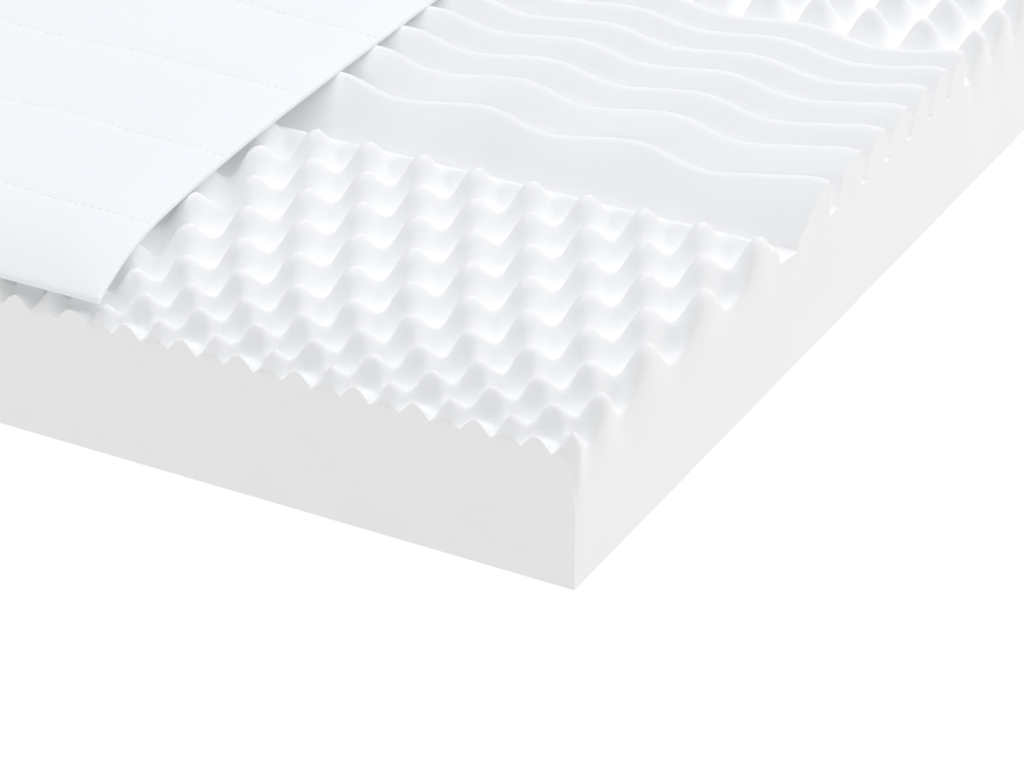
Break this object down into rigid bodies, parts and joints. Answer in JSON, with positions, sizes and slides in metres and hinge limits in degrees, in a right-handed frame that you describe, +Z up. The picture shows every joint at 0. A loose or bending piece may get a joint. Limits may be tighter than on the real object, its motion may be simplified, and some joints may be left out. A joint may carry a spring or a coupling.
{
  "type": "foam mattress with quilted cover panel",
  "caption": "Zoned foam mattress core with cut cones, wavy cross ribs and bumps on top, half covered by a quilted panel.",
  "frame": {"origin": "centre of the flat underside, on the surface that the mattress lies on", "axes": "+X across the width, towards the uncovered half; +Y along the length, from the foot end to the head end; +Z up"},
  "size_m": [0.9, 2, 0.1488],
  "materials": {
    "foam": "matt white open-cell polyurethane foam",
    "cover": "matt white quilted knit ticking"
  },
  "bodies": {
    "root": {"foam_core": "foam", "cover_panel": "cover"}
  },
  "joints": []
}
